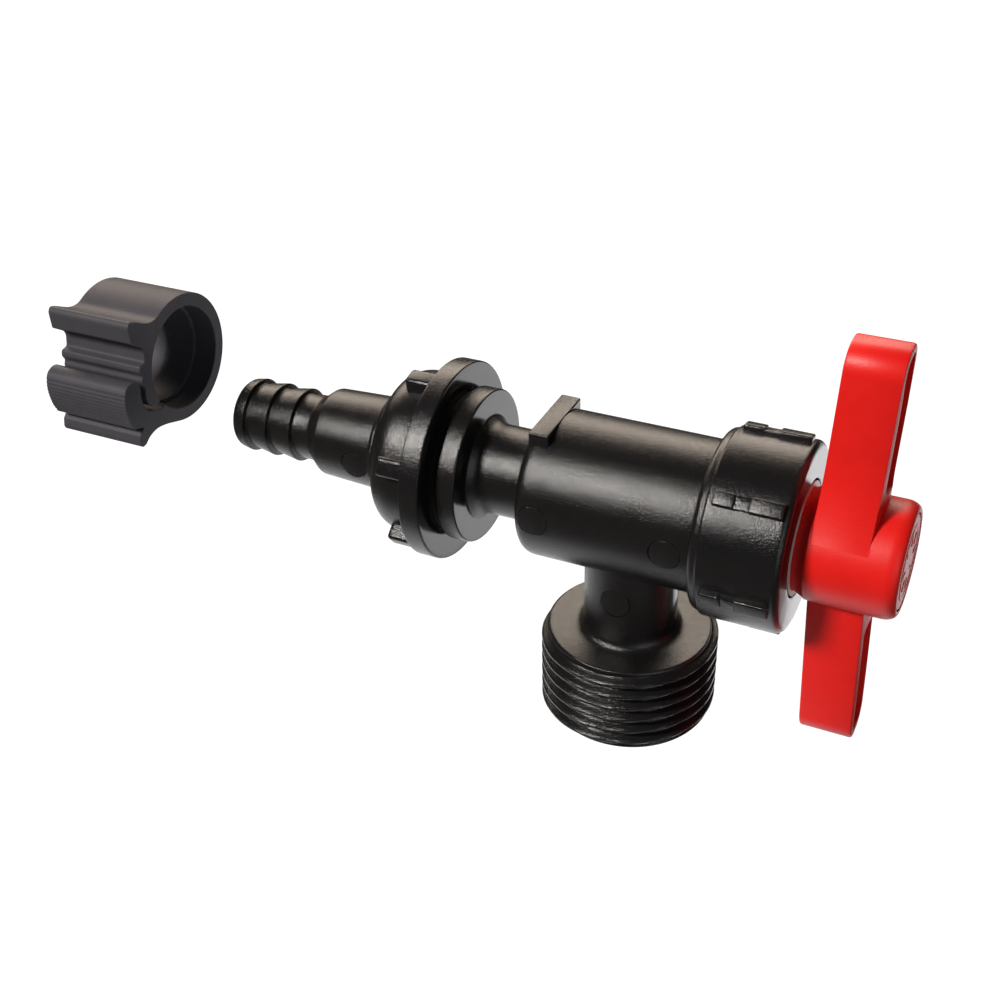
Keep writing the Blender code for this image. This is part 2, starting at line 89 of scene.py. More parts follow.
# corner V between A and B becomes the curve (1-t)^2 A' + 2t(1-t) V + t^2 B', where A' and B' lie on its
# two sides, a round's length from V; the round is a point's third number
def rounded(points, steps=5):
    out = [np.array(points[0][:2], float)]
    for before, here, after in zip(points, points[1:], points[2:]):
        size = here[2] if len(here) > 2 else 0.0
        v = np.array(here[:2], float)
        if size <= 0.0:
            out.append(v)
            continue
        a, b = np.array(before[:2], float) - v, np.array(after[:2], float) - v
        la, lb = np.linalg.norm(a), np.linalg.norm(b)
        a, b = v + a / la * min(size, 0.49 * la), v + b / lb * min(size, 0.49 * lb)
        t = np.linspace(0.0, 1.0, steps + 1)[:, None]
        out += list((1 - t) ** 2 * a + 2 * t * (1 - t) * v + t ** 2 * b)
    out.append(np.array(points[-1][:2], float))
    return np.array(out)


# a stretch from A to B gets the points A + k (B - A) / n, with n the least count that keeps them within step
def dense(profile, step):
    out = [profile[:1]]
    for a, b in zip(profile, profile[1:]):
        count = max(1, int(math.ceil(np.linalg.norm(b - a) / step)))
        out.append(a + (b - a) * np.linspace(0.0, 1.0, count + 1)[1:, None])
    return np.vstack(out)


# a profile turned round an axis: point(i, j) has axis position p_i, radius r_i + wave(p_i, angle_j) and
# angle_j = tau j / segments; a profile end of radius 0 is a pole
def turned(name, profile, segments, axis="x", closed=False, wave=None, shift=(0.0, 0.0, 0.0)):
    angle = tau * np.arange(segments) / segments
    poleA = not closed and profile[0][1] < 1e-6
    poleB = not closed and profile[-1][1] < 1e-6
    ring = profile[(1 if poleA else 0):(len(profile) - (1 if poleB else 0))]
    along, radius = ring[:, 0][:, None], ring[:, 1][:, None]
    r = radius + (wave(along, angle[None, :]) if wave is not None else 0.0) * np.ones((1, segments))
    along = along * np.ones((1, segments))
    if axis == "x":
        rows = np.stack([along, r * np.cos(angle), r * np.sin(angle)], -1)
    else:
        rows = np.stack([r * np.cos(angle), r * np.sin(angle), along], -1)

    def pole(position):
        return np.array([position, 0.0, 0.0] if axis == "x" else [0.0, 0.0, position])

    start = pole(profile[0][0]) + shift if poleA else None
    end = pole(profile[-1][0]) + shift if poleB else None
    mesh = gridMesh(name, rows + np.array(shift), start, end, closed)
    return outward(newObject(name, mesh))


# the same faces with every normal pointing out of the closed shell
def outward(item):
    bm = bmesh.new()
    bm.from_mesh(item.data)
    bmesh.ops.recalc_face_normals(bm, faces=bm.faces[:])
    bm.to_mesh(item.data)
    bm.free()
    return item


# height of a right-hand thread: turn = along/pitch - angle/tau, and the distance to the nearest whole turn
# gives a flat crest, a flat root and flanks a little rounded; both ends fade out over the length fade
def helix(pitch, depth, start, end, fade, lift=0.0, crest=0.16, root=0.16):
    def wave(along, angle):
        turn = (along - lift) / pitch - angle / tau
        ramp = 1.0 - 2.0 * np.abs(turn - np.round(turn))
        form = np.clip((ramp - root) / (1.0 - crest - root), 0.0, 1.0)
        form = form * form * (3.0 - 2.0 * form) * 0.35 + form * 0.65
        window = np.clip((along - start) / fade, 0.0, 1.0) * np.clip((end - along) / fade, 0.0, 1.0)
        return depth * form * window
    return wave


# the closed profile without any point that lies on the one before it
def dropDoubles(profile):
    gap = np.linalg.norm(np.diff(profile, axis=0), axis=1)
    profile = profile[np.concatenate([[True], gap > samePoint])]
    return profile[:-1] if np.linalg.norm(profile[-1] - profile[0]) < samePoint else profile


# the rows that may carry a thread: radius over boreLimitR and off the outlet's straight bore; the widest rows
# of the taper above that bore pass too, so they take the thread's wave
def threadRows(profile):
    return (profile[:, 1] > boreLimitR) & (np.abs(profile[:, 1] - spout["boreR"]) > 0.05)


# thread(along, angle) on the rows that carry it, between low and high along the axis, and 0 elsewhere
def threadOn(thread, carries, low, high):
    def wave(along, angle):
        inside = carries[:, None] & (along >= low) & (along <= high)
        return np.where(inside, thread(along, angle), 0.0)
    return wave


# a box from corner low to corner high with rounded edges, turned by angle degrees round the flow axis
def block(name, low, high, bevel=0.0, segments=3, angle=0.0):
    bm = bmesh.new()
    bmesh.ops.create_cube(bm, size=1.0)
    low, high = np.array(low, float), np.array(high, float)
    bmesh.ops.scale(bm, verts=bm.verts[:], vec=Vector((high - low) * mm))
    bmesh.ops.translate(bm, verts=bm.verts[:], vec=Vector((low + high) / 2 * mm))
    if bevel > 0.0:
        bmesh.ops.bevel(bm, geom=bm.edges[:], offset=bevel * mm, segments=segments, profile=0.5,
                        affect="EDGES")
    bmesh.ops.rotate(bm, verts=bm.verts[:], matrix=Matrix.Rotation(math.radians(angle), 3, "X"))
    mesh = bpy.data.meshes.new(name)
    bm.to_mesh(mesh)
    bm.free()
    return newObject(name, mesh)


# the target joined with or cut by each part in turn; the parts are then removed
def stickOn(target, parts, operation):
    for part in parts:
        modifier = target.modifiers.new(part.name, "BOOLEAN")
        modifier.operation = operation
        modifier.solver = "EXACT"
        modifier.object = part
    bpy.context.view_layer.update()
    made = bpy.data.meshes.new_from_object(target.evaluated_get(bpy.context.evaluated_depsgraph_get()))
    target.modifiers.clear()
    target.data = made
    for part in parts:
        bpy.data.objects.remove(part, do_unlink=True)
    return target


# names, shading, material, body and replaced nodes of a finished piece
def finishPiece(item, name, bodyName, nodes, mat, degrees=32.0):
    item.name = name
    item.data.name = name
    sharpen(item.data, degrees)
    item.data.materials.clear()
    item.data.materials.append(mat)
    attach(item, bodyName)
    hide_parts(*nodes)
    item.data.calc_loop_triangles()
    print("made", name, len(item.data.loop_triangles), "triangles")
    return item


# an empty node group with these sockets, and its two end nodes
def socketGroup(name, inputs, outputs):
    group = bpy.data.node_groups.new(name, "ShaderNodeTree")
    for label, kind, value in inputs:
        made = group.interface.new_socket(label, in_out="INPUT", socket_type=kind)
        if value is not None:
            made.default_value = value
    for label, kind in outputs:
        group.interface.new_socket(label, in_out="OUTPUT", socket_type=kind)
    return group, group.nodes.new("NodeGroupInput"), group.nodes.new("NodeGroupOutput")


# a Math node's result; a and b are numbers or sockets
def mathNode(tree, operation, a, b=None, clamp=False):
    node = tree.nodes.new("ShaderNodeMath")
    node.operation = operation
    node.use_clamp = clamp
    for slotIndex, value in enumerate((a, b)):
        if value is None:
            continue
        if isinstance(value, (int, float)):
            node.inputs[slotIndex].default_value = value
        else:
            tree.links.new(value, node.inputs[slotIndex])
    return node.outputs[0]


# spark-eroded mould grain: height = fine noise + 0.7 cell distance, over a broad slow wave; its strength is
# depth (1 - 0.92 flat), where flat grows from 0 to 1 on faces that look along the flow axis
def grainGroup():
    group, start, end = socketGroup(
        "mouldGrain",
        [("Coordinates", "NodeSocketVector", None), ("Normal", "NodeSocketVector", None),
         ("Scale", "NodeSocketFloat", 1.0), ("Depth", "NodeSocketFloat", 1.0),
         ("Smooth ends", "NodeSocketFloat", 1.0)],
        [("Normal", "NodeSocketVector"), ("Fine", "NodeSocketFloat"), ("Broad", "NodeSocketFloat"),
         ("Flat end", "NodeSocketFloat")])
    links = group.links
    scaled = group.nodes.new("ShaderNodeVectorMath")
    scaled.operation = "SCALE"
    links.new(start.outputs["Coordinates"], scaled.inputs[0])
    links.new(start.outputs["Scale"], scaled.inputs["Scale"])

    fine = group.nodes.new("ShaderNodeTexNoise")
    fine.inputs["Scale"].default_value = 4200.0
    fine.inputs["Detail"].default_value = 3.0
    fine.inputs["Roughness"].default_value = 0.65
    links.new(scaled.outputs[0], fine.inputs["Vector"])
    cells = group.nodes.new("ShaderNodeTexVoronoi")
    cells.inputs["Scale"].default_value = 3600.0
    links.new(scaled.outputs[0], cells.inputs["Vector"])
    broad = group.nodes.new("ShaderNodeTexNoise")
    broad.inputs["Scale"].default_value = 260.0
    broad.inputs["Detail"].default_value = 4.0
    links.new(scaled.outputs[0], broad.inputs["Vector"])

    split = group.nodes.new("ShaderNodeSeparateXYZ")
    links.new(start.outputs["Normal"], split.inputs[0])
    facing = group.nodes.new("ShaderNodeMapRange")
    facing.interpolation_type = "SMOOTHSTEP"
    facing.inputs["From Min"].default_value = 0.90
    facing.inputs["From Max"].default_value = 0.985
    links.new(mathNode(group, "ABSOLUTE", split.outputs[0]), facing.inputs["Value"])
    flat = mathNode(group, "MULTIPLY", facing.outputs[0], start.outputs["Smooth ends"])

    pits = mathNode(group, "MULTIPLY", cells.outputs["Distance"], 0.7)
    height = mathNode(group, "ADD", fine.outputs[0], pits)
    keep = mathNode(group, "SUBTRACT", 1.0, mathNode(group, "MULTIPLY", flat, 0.92))
    strength = mathNode(group, "MULTIPLY", keep, start.outputs["Depth"])
    bump = group.nodes.new("ShaderNodeBump")
    bump.inputs["Distance"].default_value = 0.00006
    links.new(strength, bump.inputs["Strength"])
    links.new(height, bump.inputs["Height"])
    wavy = group.nodes.new("ShaderNodeBump")
    wavy.inputs["Distance"].default_value = 0.00005
    wavy.inputs["Strength"].default_value = 0.35
    links.new(broad.outputs[0], wavy.inputs["Height"])
    links.new(bump.outputs[0], wavy.inputs["Normal"])
    links.new(wavy.outputs[0], end.inputs["Normal"])
    links.new(fine.outputs[0], end.inputs["Fine"])
    links.new(broad.outputs[0], end.inputs["Broad"])
    links.new(flat, end.inputs["Flat end"])
    return group


grain = grainGroup()


# a moulded plastic: colour runs from dark to light with the broad noise, roughness from rough - 0.07 to
# rough + 0.08 with the fine noise, and flat ends are smoother where smoothEnds is 1
def plastic(name, dark, light, rough, depth, scale=1.0, smoothEnds=1.0, subsurface=0.0, gloss=0.5):
    mat = bpy.data.materials.new(name)
    mat.use_nodes = True
    tree = mat.node_tree
    shader = tree.nodes["Principled BSDF"]
    place = tree.nodes.new("ShaderNodeTexCoord")
    group = tree.nodes.new("ShaderNodeGroup")
    group.node_tree = grain
    group.inputs["Scale"].default_value = scale
    group.inputs["Depth"].default_value = depth
    group.inputs["Smooth ends"].default_value = smoothEnds
    tree.links.new(place.outputs["Object"], group.inputs["Coordinates"])
    tree.links.new(place.outputs["Normal"], group.inputs["Normal"])
    colours = tree.nodes.new("ShaderNodeMix")
    colours.data_type = "RGBA"
    colours.inputs[6].default_value = (*dark, 1.0)
    colours.inputs[7].default_value = (*light, 1.0)
    tree.links.new(group.outputs["Broad"], colours.inputs[0])
    tree.links.new(colours.outputs[2], shader.inputs["Base Color"])
    span = tree.nodes.new("ShaderNodeMapRange")
    span.inputs["From Min"].default_value = 0.25
    span.inputs["From Max"].default_value = 0.75
    span.inputs["To Min"].default_value = rough - 0.07
    span.inputs["To Max"].default_value = rough + 0.08
    tree.links.new(group.outputs["Fine"], span.inputs["Value"])
    if smoothEnds > 0.0:
        polished = mathNode(tree, "MULTIPLY", group.outputs["Flat end"], 0.16 - rough)
        smooth = mathNode(tree, "ADD", span.outputs[0], polished, clamp=True)
        tree.links.new(smooth, shader.inputs["Roughness"])
    else:
        tree.links.new(span.outputs[0], shader.inputs["Roughness"])
    tree.links.new(group.outputs["Normal"], shader.inputs["Normal"])
    shader.inputs["Specular IOR Level"].default_value = gloss
    if subsurface > 0.0:
        shader.inputs["Subsurface Weight"].default_value = subsurface
        shader.inputs["Subsurface Radius"].default_value = (1.0, 0.25, 0.2)
        shader.inputs["Subsurface Scale"].default_value = 0.0012
    return mat


# bare steel: metallic, roughness from 0.18 to 0.36 with a fine noise
def steelFinish():
    mat = bpy.data.materials.new("stainlessSteel")
    mat.use_nodes = True
    tree = mat.node_tree
    shader = tree.nodes["Principled BSDF"]
    shader.inputs["Metallic"].default_value = 1.0
    shader.inputs["Base Color"].default_value = (0.62, 0.62, 0.61, 1.0)
    place = tree.nodes.new("ShaderNodeTexCoord")
    noise = tree.nodes.new("ShaderNodeTexNoise")
    noise.inputs["Scale"].default_value = 1800.0
    noise.inputs["Detail"].default_value = 4.0
    tree.links.new(place.outputs["Object"], noise.inputs["Vector"])
    span = tree.nodes.new("ShaderNodeMapRange")
    span.inputs["To Min"].default_value = 0.18
    span.inputs["To Max"].default_value = 0.36
    tree.links.new(noise.outputs[0], span.inputs["Value"])
    tree.links.new(span.outputs[0], shader.inputs["Roughness"])
    return mat


blackPlastic = plastic("blackMoulding", (0.0062, 0.0060, 0.0062), (0.0105, 0.0099, 0.0098), 0.21, 0.70, 1.2)
nutPlastic = plastic("nutMoulding", (0.0062, 0.0060, 0.0064), (0.0100, 0.0095, 0.0097), 0.20, 0.62, 1.2)
redPlastic = plastic("redHandle", (0.80, 0.0085, 0.0060), (0.89, 0.0130, 0.0090), 0.42, 0.2, 1.2, 0.0,
                     subsurface=0.08, gloss=0.4)
greyPlastic = plastic("charcoalClip", (0.050, 0.047, 0.056), (0.068, 0.064, 0.076), 0.50, 0.3, 1.2, 0.0,
                      gloss=0.22)
whitePlastic = plastic("whiteAcetal", (0.72, 0.72, 0.66), (0.80, 0.80, 0.74), 0.36, 0.1, 0.7, 0.0)
blackRubber = plastic("sealRubber", (0.010, 0.010, 0.010), (0.016, 0.015, 0.015), 0.62, 0.4, 0.6, 0.0)
steel = steelFinish()


# the main moulding and its outlet; a mark is (x, z, surface radius, mark radius)
body = {
    "tip": -39.8, "crests": (-37.6, -33.4, -29.0), "crestR": 5.92, "rootR": 5.2, "inletR": 3.9, "flowR": 5.2,
    "shankX": -13.5, "shankRoot": 8.2, "shankDepth": 0.8, "shankPitch": 2.0,
    "collarX": 2.96, "collarR": 11.9, "pipeR": 6.9, "chamberX": (11.9, 38.55), "chamberR": 11.3,
    "cavityX": 14.4, "cavityR": 8.6, "bonnetR": 10.6, "endX": 47.5, "segments": 152,
    "lug": ((12.5, -6.2, 8.0), (15.6, 6.2, 11.43)), "markDepth": 0.13,
    "marks": ((15.2, 0.0, 11.3, 2.3), (35.15, -0.3, 11.3, 2.3), (-16.4, -0.5, 7.27, 2.2),
              (26.6, -14.2, 7.15, 2.3)),
}
spout = {
    "x": 26.7, "neckR": 7.15, "shoulderZ": -22.5, "rootR": 12.45, "depth": 1.2, "pitch": 2.21, "endZ": -37.33,
    "endR": 12.2, "boreR": 9.2, "portR": 4.5, "segments": 152, "rows": 15, "lift": 0.5,
}


# radius along x of tail, barbs, shank, collar, pipe and chamber, then back along the bore
def bodyProfile():
    b = body
    start = b["shankX"]
    points = [(b["tip"], b["inletR"]), (b["tip"], 5.15, 0.15), (b["tip"] + 0.5, 5.6, 0.3)]
    for crest in b["crests"]:
        points += [(crest, b["crestR"], 0.12), (crest + 0.22, b["rootR"], 0.1)]
    points += [(-25.8, 5.3, 0.4), (-23.7, 6.95, 0.3), (-13.9, 7.38, 0.2), (-13.5, 7.6, 0.1),
               (start, 8.15, 0.25)]
    shank = dense(np.array([(start + 0.4, b["shankRoot"]), (-0.9, b["shankRoot"])]), b["shankPitch"] / 14)
    r = b["collarR"]
    rest = [(-0.9, 8.2), (0.0, 8.2, 0.15), (0.0, r, 0.3), (b["collarX"], r, 0.35), (b["collarX"], 8.0, 0.3),
            (4.3, b["pipeR"], 1.0), (b["chamberX"][0], b["pipeR"], 0.25),
            (b["chamberX"][0], b["chamberR"], 2.1), (b["chamberX"][1], b["chamberR"], 0.1),
            (b["chamberX"][1], b["bonnetR"], 0.1), (b["endX"] - 0.5, b["bonnetR"], 0.1),
            (b["endX"], 10.1, 0.1), (b["endX"], b["cavityR"]), (b["cavityX"], b["cavityR"]),
            (b["cavityX"], b["flowR"], 0.3), (-20.0, b["flowR"], 0.3), (-23.5, b["inletR"], 0.3),
            (b["tip"], b["inletR"])]
    tail = dense(rounded(rest, 8)[1:-1], 0.8)
    return dropDoubles(np.vstack([rounded(points), shank, tail]))


# the outlet turned round z: neck, shoulder and threaded wall down, then its bore and port back up
def spoutSolid():
    s = spout
    threadStart, threadEnd = s["shoulderZ"] - 0.4, s["endZ"] + 0.4
    top = rounded([(-5.0, s["portR"]), (-5.0, s["neckR"]), (s["shoulderZ"], s["neckR"], 1.9),
                   (s["shoulderZ"], s["rootR"] - 0.05, 0.3), (s["shoulderZ"] - 0.35, s["rootR"] + 0.1)], 8)
    rows = dense(np.array([(threadStart, s["rootR"]), (threadEnd, s["rootR"])]), s["pitch"] / s["rows"])
    low = rounded([(threadEnd, s["rootR"]), (s["endZ"] + 0.3, s["rootR"] - 0.02, 0.1),
                   (s["endZ"], s["endR"] - 0.35, 0.1), (s["endZ"], s["boreR"], 0.3), (-26.0, s["boreR"], 0.3),
                   (-24.5, s["portR"], 0.3), (-11.2, s["portR"])], 5)
    profile = np.vstack([dense(top, 0.6), rows, dense(low[1:], 1.2)])
    thread = helix(s["pitch"], s["depth"], s["endZ"] + 0.15, s["shoulderZ"] - 0.25, 0.75, s["lift"])
    wave = threadOn(thread, threadRows(profile), threadEnd - 1e-6, threadStart + 1e-6)
    return turned("spoutSolid", profile, s["segments"], "z", True, wave, (s["x"], 0.0, 0.0))


# round ejector marks facing the front: a wide hollow cutter for each, and the disc that fills it again to
# markDepth below the surface
def ejectorMarks():
    discs, hollows = [], []
    for index, (x, z, r, half) in enumerate(body["marks"]):
        level = r - body["markDepth"]
        disc = rounded([(-level, 0.0), (-level, half, 0.06), (-level + 1.6, half), (-level + 1.6, 0.0)], 3)
        hollow = np.array([(-r - 1.0, 0.0), (-r - 1.0, half + 0.1), (0.2 - level, half + 0.1),
                           (0.2 - level, 0.0)])
        for label, shape, group in (("mark", disc, discs), ("dent", hollow, hollows)):
            piece = turned("%s%d" % (label, index), shape, 48)
            toFront = Matrix.Rotation(math.pi / 2, 4, "Z")
            piece.data.transform(Matrix.Translation((x * mm, 0.0, z * mm)) @ toFront)
            group.append(piece)
    return discs, hollows


# body turned round x, joined to outlet and top lug, with the plug's cavity and its port cut through
def makeBody():
    b, s = body, spout
    profile = bodyProfile()
    thread = helix(b["shankPitch"], b["shankDepth"], b["shankX"], -0.2, 1.2)
    wave = threadOn(thread, threadRows(profile), b["shankX"] + 0.3, -0.85)
    main = turned("valveBody", profile, b["segments"], closed=True, wave=wave)
    outlet = spoutSolid()
    lug = block("lugSolid", *b["lug"], 0.3, 4)
    discs, hollows = ejectorMarks()
    opening = np.array([(-4.0, 0.0), (-4.0, 6.2), (-11.2, 6.2), (-11.2, s["portR"] + 0.01),
                        (-12.0, s["portR"] + 0.01), (-12.0, 0.0)])
    cavity = np.array([(b["cavityX"] + 0.02, 0.0), (b["cavityX"] + 0.02, b["cavityR"] - 0.005),
                       (b["endX"] - 1.0, b["cavityR"] - 0.005), (b["endX"] - 1.0, 0.0)])
    clear = turned("cavityCutter", cavity, 120)
    port = turned("portCutter", opening, 96, "z", shift=(s["x"], 0.0, 0.0))
    stickOn(main, [outlet, lug], "UNION")
    stickOn(main, hollows + [clear, port], "DIFFERENCE")
    stickOn(main, discs, "UNION")
    return finishPiece(main, "valveBodyFine", "body", ["valve_body"], blackPlastic)


panelNut = {"left": -11.8, "right": -1.1, "r": 12.8, "flangeX": -4.3, "flangeR": 15.46, "mouthX": -2.7,
            "threadEndX": -11.2, "threadGap": 0.2, "lugs": 6, "lugAngle": 20.3, "lugR": 14.97, "lugX": -8.5,
            "lugHalf": 1.5}


# nut turned round x: dome, flange and mouth, then the female thread back, threadGap outside the shank's
def makePanelNut():
    n, b = panelNut, body
    f, root = n["flangeR"], b["shankRoot"] + n["threadGap"]
    outer = [(n["left"], 9.7), (n["left"], 10.2, 0.3), (-10.9, 11.9, 1.6), (-8.9, n["r"], 1.6),
             (n["flangeX"], n["r"], 0.3), (n["flangeX"], f, 0.3), (n["right"], f, 0.3),
             (n["right"], 11.3, 0.2), (-2.4, 11.3, 0.15), (-2.4, 9.6, 0.1), (-2.66, 9.35),
             (n["mouthX"], root)]
    rows = dense(np.array([(n["mouthX"], root), (n["threadEndX"], root)]), b["shankPitch"] / 12)
    last = np.array([(n["left"] + 0.1, 9.5)])
    profile = dropDoubles(np.vstack([dense(rounded(outer, 6), 0.7), rows[1:], last]))
    thread = helix(b["shankPitch"], b["shankDepth"], -90.0, 90.0, 1.0)
    wave = threadOn(thread, profile[:, 1] < root + 0.3, n["threadEndX"] - 0.05, n["mouthX"] + 0.01)
    nut = turned("panelNut", profile, b["segments"], closed=True, wave=wave)
    lugs = []
    for index in range(n["lugs"]):
        angle = -n["lugAngle"] - index * 360.0 / n["lugs"]
        low = (n["lugX"], -n["lugR"], -n["lugHalf"])
        high = (n["flangeX"] + 0.5, -11.9, n["lugHalf"])
        lugs.append(block("lug%d" % index, low, high, 0.6, 5, angle))
    stickOn(nut, lugs, "UNION")
    return finishPiece(nut, "bulkheadNutFine", "panel_nut", ["bulkhead_nut"], nutPlastic)


bonnet = {"left": 38.6, "band": 40.4, "right": 51.9, "r": 13.9, "rimChamfer": 0.7, "holeR": 8.6,
          "threadR": 10.9, "ribR": 14.8, "ribFoot": 13.0, "ribs": 6, "ribAngle": 45.0,
          "ribX": (41.2, 44.3, 46.2, 50.9)}


# nut turned round x, then a rib every 360 / ribs degrees: a short bar, a long bar and a low foot between them
def makeBonnetNut():
    n = bonnet
    rim, hole, inside = n["right"] - n["rimChamfer"], n["holeR"], n["threadR"]
    outer = [(n["left"], 11.38), (n["left"], 11.9, 0.2), (39.1, 13.3, 0.9), (n["band"] - 0.1, 13.5, 0.2),
             (n["band"] + 0.05, n["r"], 0.12), (rim, n["r"], 0.35), (n["right"], 13.3, 0.5),
             (n["right"], hole, 0.2), (48.8, hole, 0.2), (48.8, inside), (39.0, inside),
             (n["left"] + 0.05, 11.35)]
    nut = turned("bonnetNut", dropDoubles(dense(rounded(outer, 6), 0.8)), body["segments"], closed=True)
    ribs = []
    for index in range(n["ribs"]):
        angle = -n["ribAngle"] - index * 360.0 / n["ribs"]
        first, second, third, last = n["ribX"]
        top, foot = -n["ribR"], -n["ribFoot"]
        ribs.append(block("rib%d" % index, (first, top, -1.1), (second, foot, 1.1), 0.3, 4, angle))
        ribs.append(block("ribLong%d" % index, (third, top, -1.15), (last, foot, 1.15), 0.3, 4, angle))
        low, high = (second - 0.6, top + 0.3, -1.0), (third + 0.6, foot, 1.0)
        ribs.append(block("ribFoot%d" % index, low, high, 0.15, 2, angle))
    stickOn(nut, ribs, "UNION")
    return finishPiece(nut, "bonnetNutFine", "body", ["bonnet_nut"], nutPlastic)


# recess is (floor x, low z, high z, half width)
handle = {"neckR": 7.4, "neckX": 49.2, "hubR": 8.4, "front": 66.4, "tipZ": 31.8, "halfY": 4.0,
          "tipRound": 3.4, "rearX": 53.65, "frontX": 61.75, "rearLean": 0.042, "frontLean": 0.03,
          "flareR": 24.4, "recess": (57.0, 10.4, 30.7, 2.95), "pocketX": (60.5, 64.7),
          "pocketR": (6.3, 6.95)}


# (y, z) points of an arc, angles in degrees
def arcAt(center, r, start, end, count):
    a = np.radians(np.linspace(start, end, count))
    return np.stack([center[0] + r * np.cos(a), center[1] + r * np.sin(a)], -1)


# moves each point of a closed (y, z) line sideways by inset, square to the line through its neighbours
def insetLine(line, inset):
    along = np.roll(line, -1, 0) - np.roll(line, 1, 0)
    along /= np.linalg.norm(along, axis=1)[:, None] + 1e-12
    return line + inset * np.stack([-along[:, 1], along[:, 0]], -1)


# half a wing outline, then the same turned half a turn: tip arcs, straight side, and a flare that
# touches both the flat side (y = -half) and the hub's circle, so zc^2 = (hub + flare)^2 - (half + flare)^2
def wingOutline():
    h = handle
    half, corner, flare = h["halfY"], h["tipRound"], h["flareR"]
    zc = math.sqrt((h["hubR"] + flare) ** 2 - (half + flare) ** 2)
    last = -math.degrees(math.asin(zc / (h["hubR"] + flare)))
    tip = h["tipZ"] - corner
    side = np.vstack([[[half, 7.0], [half, 14.0], [half, 22.0]],
                      arcAt((half - corner, tip), corner, 0.0, 90.0, 12),
                      arcAt((corner - half, tip), corner, 90.0, 180.0, 12), [[-half, 23.0]],
                      arcAt((-half - flare, zc), flare, 0.0, last, 16), [[-6.3, 1.5]]])
    return np.vstack([side, -side])


# a loft through (base, lean, outline) rings: x = base + lean |z|
def leanLoft(name, rings):
    rows = np.array([np.column_stack([base + lean * np.abs(line[:, 1]), line]) for base, lean, line in rings])
    middle = rows.mean(1)
    return outward(newObject(name, gridMesh(name, rows, middle[0], middle[-1], False)))


# the wing outline lofted from rear to front; both faces have their edges eased by two inset rings
def wingSolid():
    h = handle
    line = wingOutline()
    rear, front, eased = h["rearX"], h["frontX"], 0.35
    small, full = insetLine(line, 0.3 * eased), insetLine(line, eased)
    rings = [(rear, h["rearLean"], full), (rear + 0.3 * eased, h["rearLean"], small),
             (rear + eased, h["rearLean"], line), (front - eased, h["frontLean"], line),
             (front - 0.3 * eased, h["frontLean"], small), (front, h["frontLean"], full)]
    return leanLoft("wings", rings)


# a hollow in the wing's front: rounded rectangles lofted from floor to mouth, each inset less than the last
def recessSolid(name, sign):
    floor, low, high, half = handle["recess"]
    rings = []
    steps = ((floor, 1.2), (floor + 0.25, 0.7), (floor + 0.9, 0.34), (floor + 2.4, 0.22), (64.5, 0.0))
    for x, inset in steps:
        corner = max(0.4, 2.2 - inset)
        y, top, bottom = half - inset - corner, high - inset - corner, low + inset + corner
        corners = ((y, top), (-y, top), (-y, bottom), (y, bottom))
        line = np.vstack([arcAt(center, corner, 90.0 * quarter, 90.0 * quarter + 90.0, 10)
                          for quarter, center in enumerate(corners)])
        rings.append((x, handle["frontLean"], line * sign))
    return leanLoft(name, rings)


# hub and neck turned round x, joined to the wings, then cut for recesses, front pocket, stem socket and screw
def makeHandle():
    h = handle
    front, (low, high), (narrow, wide) = h["front"], h["pocketX"], h["pocketR"]
    arc = arcAt((0.0, 0.0), 1.0, 0.0, 90.0, 14) * (2.0, 1.2) + (front - 2.0, 7.2)
    hub = [(low, 0.0), (low, narrow, 0.2), (high, narrow), (high, wide, 0.1), (front - 0.1, wide, 0.05)]
    hub += [tuple(point) for point in arc]
    hub += [(57.0, h["hubR"], 2.0), (h["rearX"] + 0.1, 8.3, 0.25), (h["rearX"] - 0.05, 8.12, 0.1),
            (52.1, h["neckR"], 0.5), (h["neckX"], h["neckR"], 0.3), (h["neckX"], 0.0)]
    grip = turned("tHandle", dense(rounded(hub, 8), 0.9), 144)
    stickOn(grip, [wingSolid()], "UNION")
    pocket = np.array([(low, 0.0), (low, 6.29), (64.72, 6.29), (64.72, 6.94), (67.0, 6.94), (67.0, 0.0)])
    screwHole = np.array([(58.0, 0.0), (58.0, 1.8), (61.5, 1.8), (61.5, 0.0)])
    cutters = [recessSolid("recessUp", 1.0), recessSolid("recessDown", -1.0),
               turned("pocketCutter", pocket, 96),
               block("socketCutter", (48.0, -3.2, -3.2), (58.9, 3.2, 3.2), 0.2, 2),
               turned("screwCutter", screwHole, 48)]
    stickOn(grip, cutters, "DIFFERENCE")
    return finishPiece(grip, "tHandleFine", "rotor", ["t_handle"], redPlastic)


cap = {"x": 65.0, "r": 6.7, "ringR": (4.95, 5.35), "sink": 0.12, "ticks": 8, "tickR": (2.6, 4.3)}


# plain cap turned round x with a raised ring, and marks every 360 / ticks degrees inside it
def makeCap():
    c, f = cap, handle["front"]
    face, (inner, outer) = f - c["sink"], c["ringR"]
    edge = [(c["x"], 0.0), (c["x"], c["r"], 0.1), (face, c["r"], 0.2), (face, 5.5, 0.1), (f, outer, 0.1),
            (f, inner, 0.1), (face, 4.8, 0.1), (face, 0.0)]
    disc = turned("hubCap", dense(rounded(edge, 4), 0.6), 128)
    low, high = (f - 0.5, c["tickR"][0], -0.22), (f, c["tickR"][1], 0.22)
    step = 360.0 / c["ticks"]
    ticks = [block("tick%d" % k, low, high, 0.08, 2, k * step) for k in range(c["ticks"])]
    stickOn(disc, ticks, "UNION")
    return finishPiece(disc, "hubCapFine", "rotor", ["hub_cap"], redPlastic)


clip = {"left": -67.1, "right": -51.6, "z": 7.6, "innerR": 8.49, "stepR": 8.0, "stepDepths": (5.6, 4.0),
        "outerR": 10.65, "ribPitch": 0.62, "ribHeight": 0.08}


